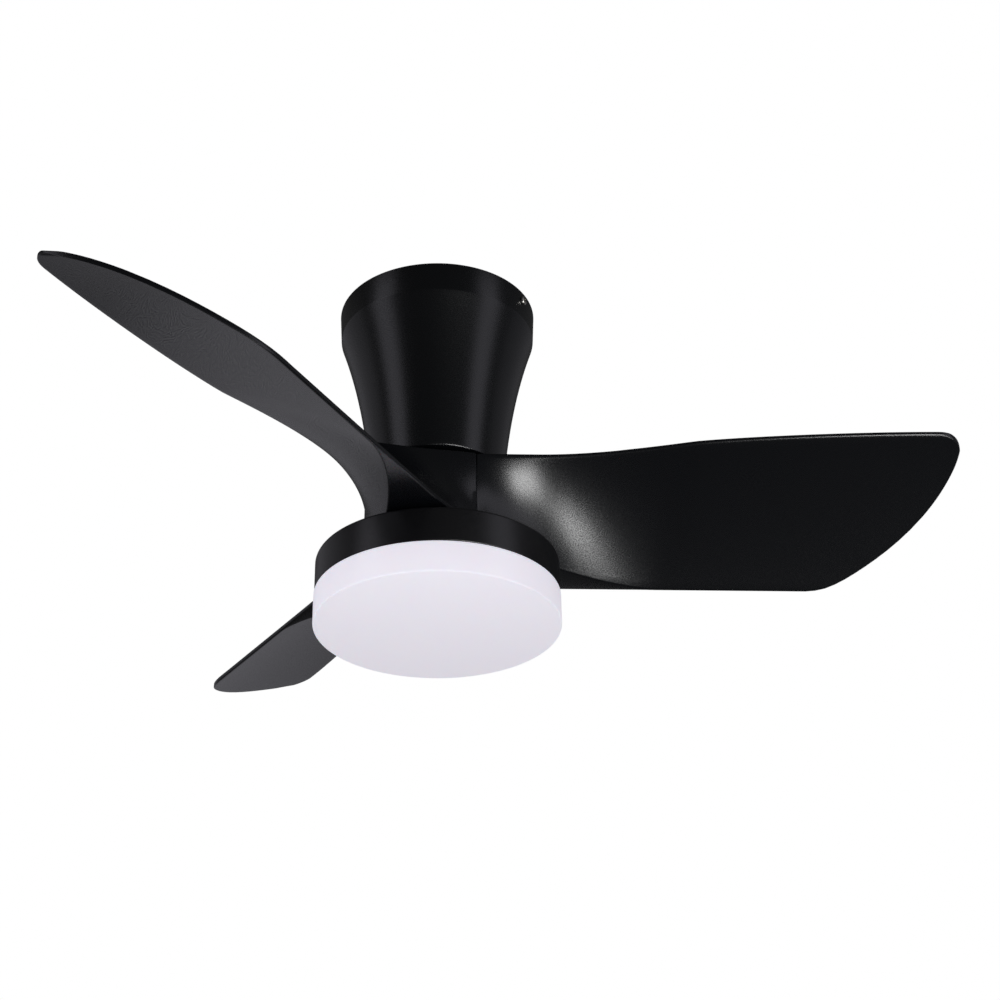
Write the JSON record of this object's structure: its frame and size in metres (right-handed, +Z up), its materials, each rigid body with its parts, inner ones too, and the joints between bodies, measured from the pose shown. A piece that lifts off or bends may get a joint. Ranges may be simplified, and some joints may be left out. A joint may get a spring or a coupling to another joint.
{
  "type": "ceiling fan with light",
  "caption": "Low-profile ceiling fan with swept, pitched blades around a direct-drive motor, tapered canopy above and a round opal LED light below.",
  "frame": {"origin": "centre of the ceiling bracket's upper face, on the fan's axis, in the plane of the ceiling", "axes": "+Z up along the fan's axis towards the ceiling, +X along the ceiling bracket's long bar"},
  "size_m": [0.7961, 0.7503, 0.3244],
  "materials": {
    "canopy_plastic": "moulded ABS, satin black",
    "blade_plastic": "moulded ABS, fine matte grain, charcoal black",
    "pan_enamel": "satin black powder coat on pressed steel",
    "opal_diffuser": "opal acrylic, satin, passes light",
    "zinc_steel": "zinc-plated pressed steel",
    "bright_steel": "nickel-plated steel, bright",
    "dark_steel": "black phosphated steel",
    "bearing_steel": "ground and polished bearing steel",
    "cage_brass": "pressed brass",
    "brass": "turned brass",
    "pale_plastic": "moulded nylon, off-white",
    "white_plastic": "moulded polycarbonate, white",
    "circuit_board": "glass-epoxy board, green solder resist",
    "grey_cable": "PVC sheath, matte",
    "white_cable": "PVC sheath, matte",
    "lamination_steel": "stacked electrical steel",
    "copper_wire": "enamelled copper wire, glossy",
    "cast_aluminium": "die-cast, as cast",
    "magnet": "sintered ferrite, ground",
    "white_board": "aluminium board with white reflective resist",
    "led_phosphor": "yellow phosphor in silicone"
  },
  "bodies": {
    "fixed_frame": {"ceiling_bracket": "zinc_steel", "canopy": "canopy_plastic", "canopy_screws": "bright_steel", "hanger_tube": "dark_steel", "hanger_pin": "bright_steel", "pin_clip": "bright_steel", "receiver_base": "pale_plastic", "receiver_board": "circuit_board", "receiver_lid": "pale_plastic", "receiver_screws": "bright_steel", "terminal_block": "pale_plastic", "earth_screw": "brass", "motor_lead": "grey_cable", "light_lead": "white_cable", "motor_shaft": "bright_steel", "tube_set_screws": "dark_steel", "shaft_circlip": "dark_steel", "shaft_spacers": "bright_steel", "upper_inner_race": "bearing_steel", "lower_inner_race": "bearing_steel", "stator_core": "lamination_steel", "stator_insulators": "pale_plastic", "stator_windings": "copper_wire", "light_pan": "pan_enamel", "light_plate": "zinc_steel", "plate_screws": "bright_steel", "light_washer": "bright_steel", "light_nut": "bright_steel", "led_driver": "white_plastic", "driver_screws": "bright_steel", "led_standoffs": "brass", "led_board": "white_board", "led_chips": "led_phosphor", "led_screws": "bright_steel"},
    "rotor": {"upper_outer_race": "bearing_steel", "lower_outer_race": "bearing_steel", "motor_top_shell": "cast_aluminium", "motor_bottom_shell": "cast_aluminium", "shell_screws": "bright_steel", "rotor_yoke": "dark_steel", "rotor_magnets": "magnet", "hub_cap": "blade_plastic", "blade_1": "blade_plastic", "blade_2": "blade_plastic", "blade_3": "blade_plastic", "blade_screws": "bright_steel"},
    "upper_ball_set": {"upper_cage": "cage_brass", "upper_balls": "bearing_steel"},
    "lower_ball_set": {"lower_cage": "cage_brass", "lower_balls": "bearing_steel"},
    "diffuser": {"diffuser": "opal_diffuser"}
  },
  "joints": [
    {"name": "rotor_spin", "type": "hinge", "parent": "fixed_frame", "child": "rotor", "pos_m": [0, 0, -0.2173], "axis": [0, 0, -1], "continuous": true},
    {"name": "upper_ball_orbit", "type": "hinge", "parent": "fixed_frame", "child": "upper_ball_set", "pos_m": [0, 0, -0.2038], "axis": [0, 0, -1], "continuous": true},
    {"name": "lower_ball_orbit", "type": "hinge", "parent": "fixed_frame", "child": "lower_ball_set", "pos_m": [0, 0, -0.2443], "axis": [0, 0, -1], "continuous": true},
    {"name": "diffuser_twist", "type": "hinge", "parent": "fixed_frame", "child": "diffuser", "pos_m": [0, 0, -0.2928], "axis": [0, 0, -1], "range_deg": [0, 20]}
  ],
  "couplings": [
    {"joint": "upper_ball_orbit", "follows": "rotor_spin", "ratio": 0.5915},
    {"joint": "lower_ball_orbit", "follows": "rotor_spin", "ratio": 0.5915}
  ]
}
